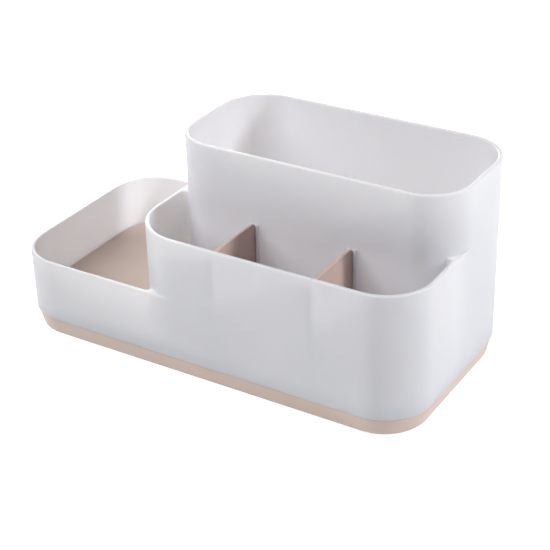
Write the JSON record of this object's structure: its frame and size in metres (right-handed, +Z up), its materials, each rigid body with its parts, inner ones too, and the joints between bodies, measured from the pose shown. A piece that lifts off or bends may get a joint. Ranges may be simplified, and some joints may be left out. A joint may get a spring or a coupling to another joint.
{
  "type": "makeup organiser",
  "caption": "Open stepped desk organiser for makeup: a thin-walled white shell with a low tray, a divided front bin and a tall rear bin, pushed onto a beige base with a raised floor.",
  "frame": {"origin": "centre of the footprint, on the surface that the feet stand on", "axes": "+X to the right along the long side, with the low tray at -X; +Y to the back, behind the tall bin; +Z up"},
  "size_m": [0.25, 0.125, 0.118],
  "materials": {
    "white_plastic": "glossy moulded white",
    "beige_plastic": "satin moulded beige",
    "foot_rubber": "matt grey"
  },
  "bodies": {
    "base": {"base": "beige_plastic", "foot_front_left": "foot_rubber", "foot_front_right": "foot_rubber", "foot_back_left": "foot_rubber", "foot_back_right": "foot_rubber"},
    "shell": {"shell": "white_plastic"},
    "divider_left": {"divider_left": "beige_plastic"},
    "divider_right": {"divider_right": "beige_plastic"}
  },
  "joints": [
    {"name": "shell_lift", "type": "slide", "parent": "base", "child": "shell", "axis": [0, 0, 1], "range_m": [0, 0.04]},
    {"name": "divider_left_lift", "type": "slide", "parent": "shell", "child": "divider_left", "axis": [0, 0, 1], "range_m": [0, 0.07]},
    {"name": "divider_right_lift", "type": "slide", "parent": "shell", "child": "divider_right", "axis": [0, 0, 1], "range_m": [0, 0.07]}
  ]
}
